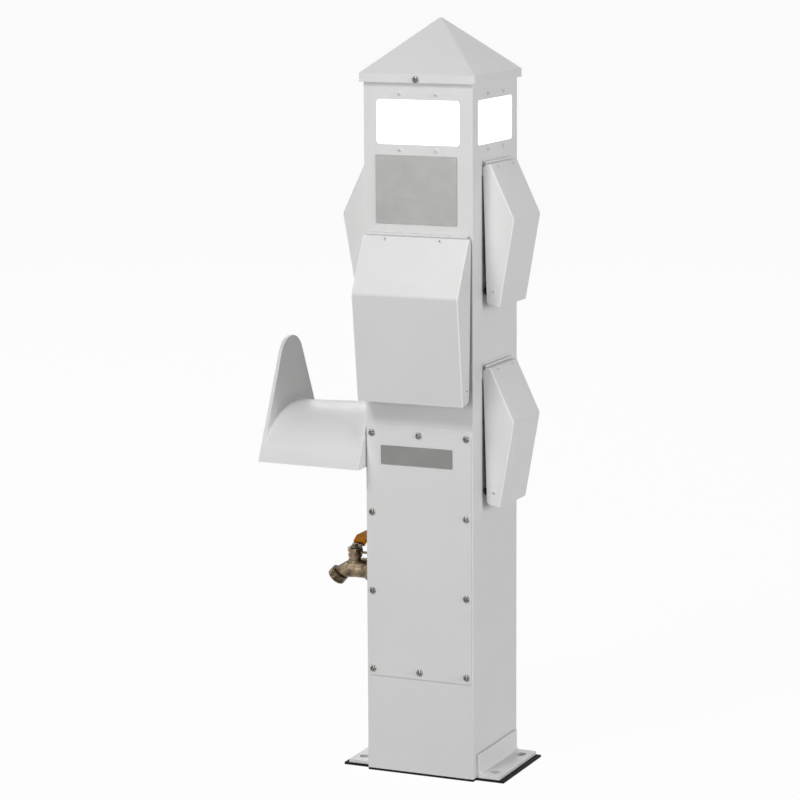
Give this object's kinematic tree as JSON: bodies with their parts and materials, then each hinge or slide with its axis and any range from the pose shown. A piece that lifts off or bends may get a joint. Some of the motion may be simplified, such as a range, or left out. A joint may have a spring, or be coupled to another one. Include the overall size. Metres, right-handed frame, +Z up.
{
  "type": "dock power pedestal",
  "caption": "Square dock pedestal with a pyramid cap, lit windows, hinged hoods over breakers and outlets, a screwed access panel, a hose hanger and a lever tap.",
  "frame": {"origin": "centre of the column on the ground, at the underside of the rubber gasket", "axes": "+Z up; -Y out of the front with the breaker hood and access panel; +X out of the side with two outlet hoods; -X out of the side with the hose hanger and tap"},
  "size_m": [0.3461, 0.2242, 0.9987],
  "materials": {
    "white_coat": "satin",
    "gasket_rubber": "matte",
    "bumper_rubber": "matte",
    "stainless": "brushed",
    "lens_plastic": "diffusing",
    "sheet_metal": "brushed",
    "pale_plastic": "glossy",
    "lamp_glass": "frosted",
    "plate_metal": "brushed",
    "dark_plastic": "matte",
    "toggle_plastic": "matte",
    "bar_brass": "plain",
    "wire_jacket": "satin",
    "pipe_metal": "dull copper",
    "tap_bronze": "dull",
    "lever_metal": "dark plated",
    "grip_plastic": "dipped plastic"
  },
  "bodies": {
    "pedestal": {"base_gasket": "gasket_rubber", "base_angle_left": "white_coat", "base_angle_right": "white_coat", "column": "white_coat", "cap": "white_coat", "cap_screws": "stainless", "lens_front": "lens_plastic", "lens_right": "lens_plastic", "lens_back": "lens_plastic", "lens_left": "lens_plastic", "lens_screws": "white_coat", "lamp_shelf": "sheet_metal", "lamp_socket": "pale_plastic", "lamp": "lamp_glass", "data_plate": "plate_metal", "access_panel": "white_coat", "panel_plate": "plate_metal", "panel_screws": "stainless", "front_fixed_leaf": "white_coat", "right_upper_fixed_leaf": "white_coat", "right_lower_fixed_leaf": "white_coat", "left_upper_fixed_leaf": "white_coat", "hinge_pins": "stainless", "breaker_plate": "sheet_metal", "breakers": "dark_plastic", "outlet_right_upper": "dark_plastic", "outlet_right_lower": "dark_plastic", "outlet_left_upper": "dark_plastic", "fixing_screws": "stainless", "terminal_block": "dark_plastic", "ground_bar": "bar_brass", "wiring": "wire_jacket", "water_riser": "pipe_metal", "tap_body": "tap_bronze", "tap_bonnet": "tap_bronze", "hose_hanger": "white_coat", "hanger_bolts": "stainless"},
    "front_hood": {"front_hood": "white_coat", "front_hood_leaf": "white_coat", "front_hood_rivets": "white_coat", "front_hood_bumpers": "bumper_rubber"},
    "right_upper_hood": {"right_upper_hood": "white_coat", "right_upper_hood_leaf": "white_coat", "right_upper_hood_rivets": "white_coat", "right_upper_hood_bumpers": "bumper_rubber"},
    "right_lower_hood": {"right_lower_hood": "white_coat", "right_lower_hood_leaf": "white_coat", "right_lower_hood_rivets": "white_coat", "right_lower_hood_bumpers": "bumper_rubber"},
    "left_upper_hood": {"left_upper_hood": "white_coat", "left_upper_hood_leaf": "white_coat", "left_upper_hood_rivets": "white_coat", "left_upper_hood_bumpers": "bumper_rubber"},
    "tap_handle": {"tap_stem": "tap_bronze", "tap_lever": "lever_metal", "tap_grip": "grip_plastic", "tap_nut": "lever_metal"},
    "toggle_left": {"toggle_left": "toggle_plastic"},
    "toggle_middle": {"toggle_middle": "toggle_plastic"},
    "toggle_right": {"toggle_right": "toggle_plastic"}
  },
  "joints": [
    {"name": "front_hood_hinge", "type": "hinge", "parent": "pedestal", "child": "front_hood", "pos_m": [0, -0.0798, 0.7226], "axis": [-1, 0, 0], "range_deg": [0, 115]},
    {"name": "right_upper_hood_hinge", "type": "hinge", "parent": "pedestal", "child": "right_upper_hood", "pos_m": [0.0798, 0, 0.8153], "axis": [0, -1, 0], "range_deg": [0, 115]},
    {"name": "right_lower_hood_hinge", "type": "hinge", "parent": "pedestal", "child": "right_lower_hood", "pos_m": [0.0798, 0, 0.5508], "axis": [0, -1, 0], "range_deg": [0, 115]},
    {"name": "left_upper_hood_hinge", "type": "hinge", "parent": "pedestal", "child": "left_upper_hood", "pos_m": [-0.0798, 0, 0.8153], "axis": [0, 1, 0], "range_deg": [0, 115]},
    {"name": "tap_lever_turn", "type": "hinge", "parent": "pedestal", "child": "tap_handle", "pos_m": [-0.1284, 0, 0.2552], "axis": [0, 0, 1], "range_deg": [0, 90]},
    {"name": "toggle_left_swing", "type": "hinge", "parent": "pedestal", "child": "toggle_left", "pos_m": [-0.028, -0.0712, 0.612], "axis": [1, 0, 0], "range_deg": [0, 40]},
    {"name": "toggle_middle_swing", "type": "hinge", "parent": "pedestal", "child": "toggle_middle", "pos_m": [0, -0.0712, 0.612], "axis": [1, 0, 0], "range_deg": [0, 40]},
    {"name": "toggle_right_swing", "type": "hinge", "parent": "pedestal", "child": "toggle_right", "pos_m": [0.028, -0.0712, 0.612], "axis": [1, 0, 0], "range_deg": [0, 40]}
  ]
}
